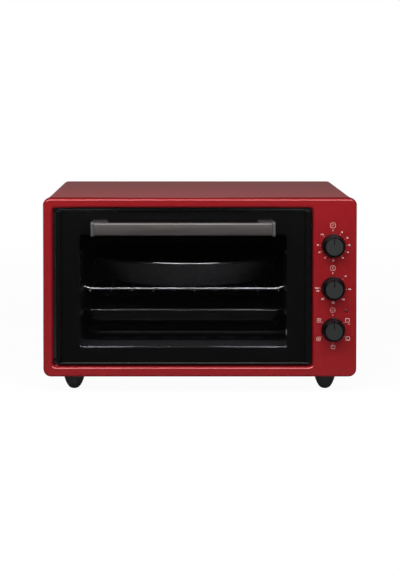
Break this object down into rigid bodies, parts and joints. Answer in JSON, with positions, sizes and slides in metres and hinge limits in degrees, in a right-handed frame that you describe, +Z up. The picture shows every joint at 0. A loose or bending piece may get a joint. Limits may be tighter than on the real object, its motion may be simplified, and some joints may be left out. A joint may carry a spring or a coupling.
{
  "type": "mini oven",
  "caption": "Counter-top electric mini oven with a drop-down glass door, flat bar handle, control knobs, wire rack, round tin and baking tray.",
  "frame": {"origin": "middle of the overall box, on the surface that the feet stand on", "axes": "+Z up, -Y towards the user at the door, +X to the user's right, where the knobs are"},
  "size_m": [0.52, 0.463, 0.325],
  "materials": {
    "red_paint": "metallic red paint, satin",
    "red_cover": "metallic red paint, satin",
    "galvanised_steel": "galvanised",
    "aluminised_steel": "aluminised",
    "black_enamel": "gloss black",
    "tin_enamel": "gloss black enamel",
    "door_glass": "polished",
    "black_plastic": "gloss",
    "anthracite": "satin anthracite",
    "chrome_wire": "bright chrome",
    "heater_steel": "heat-stained steel",
    "steel": "plain",
    "ceramic": null,
    "brass": "plain",
    "lamp_red": "clear red, unlit"
  },
  "bodies": {
    "housing": {"front_frame": "red_paint", "outer_cover": "red_cover", "back_panel": "galvanised_steel", "base_panel": "galvanised_steel", "foot_front_left": "black_plastic", "foot_front_right": "black_plastic", "foot_rear_left": "black_plastic", "foot_rear_right": "black_plastic", "cavity_mouth": "aluminised_steel", "cavity_wrap": "aluminised_steel", "cavity_back": "aluminised_steel", "lower_heater": "heater_steel", "upper_heater": "heater_steel", "lower_heater_bush_front": "ceramic", "lower_heater_bush_rear": "ceramic", "upper_heater_bush_front": "ceramic", "upper_heater_bush_rear": "ceramic", "thermostat_bulb": "steel", "heat_shield": "galvanised_steel", "hinge_bracket_left": "steel", "hinge_bracket_right": "steel", "control_bracket": "galvanised_steel", "timer_body": "steel", "timer_bell": "brass", "thermostat_body": "steel", "selector_body": "steel", "indicator_lens": "lamp_red", "indicator_lamp": "black_plastic", "inlet_gland": "black_plastic", "terminal_block": "ceramic"},
    "door": {"door_frame": "black_enamel", "door_back_frame": "black_enamel", "door_glass_outer": "door_glass", "door_glass_inner": "door_glass", "hinge_pin_left": "steel", "hinge_pin_right": "steel", "handle_bar": "anthracite", "handle_cap_left": "anthracite", "handle_cap_right": "anthracite", "handle_arm_left": "anthracite", "handle_arm_right": "anthracite"},
    "timer_control": {"timer_knob": "black_plastic", "timer_shaft": "brass"},
    "thermostat_control": {"thermostat_knob": "black_plastic", "thermostat_shaft": "brass"},
    "selector_control": {"selector_knob": "black_plastic", "selector_shaft": "brass"},
    "rack": {"wire_rack": "chrome_wire", "round_tin": "tin_enamel"},
    "tray": {"baking_tray": "tin_enamel"}
  },
  "joints": [
    {"name": "door_hinge", "type": "hinge", "parent": "housing", "child": "door", "pos_m": [-0.0271, -0.1795, 0.0535], "axis": [1, 0, 0], "range_deg": [0, 90]},
    {"name": "timer_turn", "type": "hinge", "parent": "housing", "child": "timer_control", "pos_m": [0.2206, -0.1865, 0.2457], "axis": [0, 1, 0], "range_deg": [0, 315]},
    {"name": "thermostat_turn", "type": "hinge", "parent": "housing", "child": "thermostat_control", "pos_m": [0.2206, -0.1865, 0.17502], "axis": [0, 1, 0], "range_deg": [0, 270]},
    {"name": "selector_turn", "type": "hinge", "parent": "housing", "child": "selector_control", "pos_m": [0.2206, -0.1865, 0.10611], "axis": [0, 1, 0], "range_deg": [0, 300]},
    {"name": "rack_slide", "type": "slide", "parent": "housing", "child": "rack", "axis": [0, -1, 0], "range_m": [0, 0.189]},
    {"name": "tray_slide", "type": "slide", "parent": "housing", "child": "tray", "axis": [0, -1, 0], "range_m": [0, 0.126]}
  ],
  "couplings": [
    {"joint": "rack_slide", "follows": "door_hinge", "m_per_rad": 0.12},
    {"joint": "tray_slide", "follows": "door_hinge", "m_per_rad": 0.08}
  ]
}
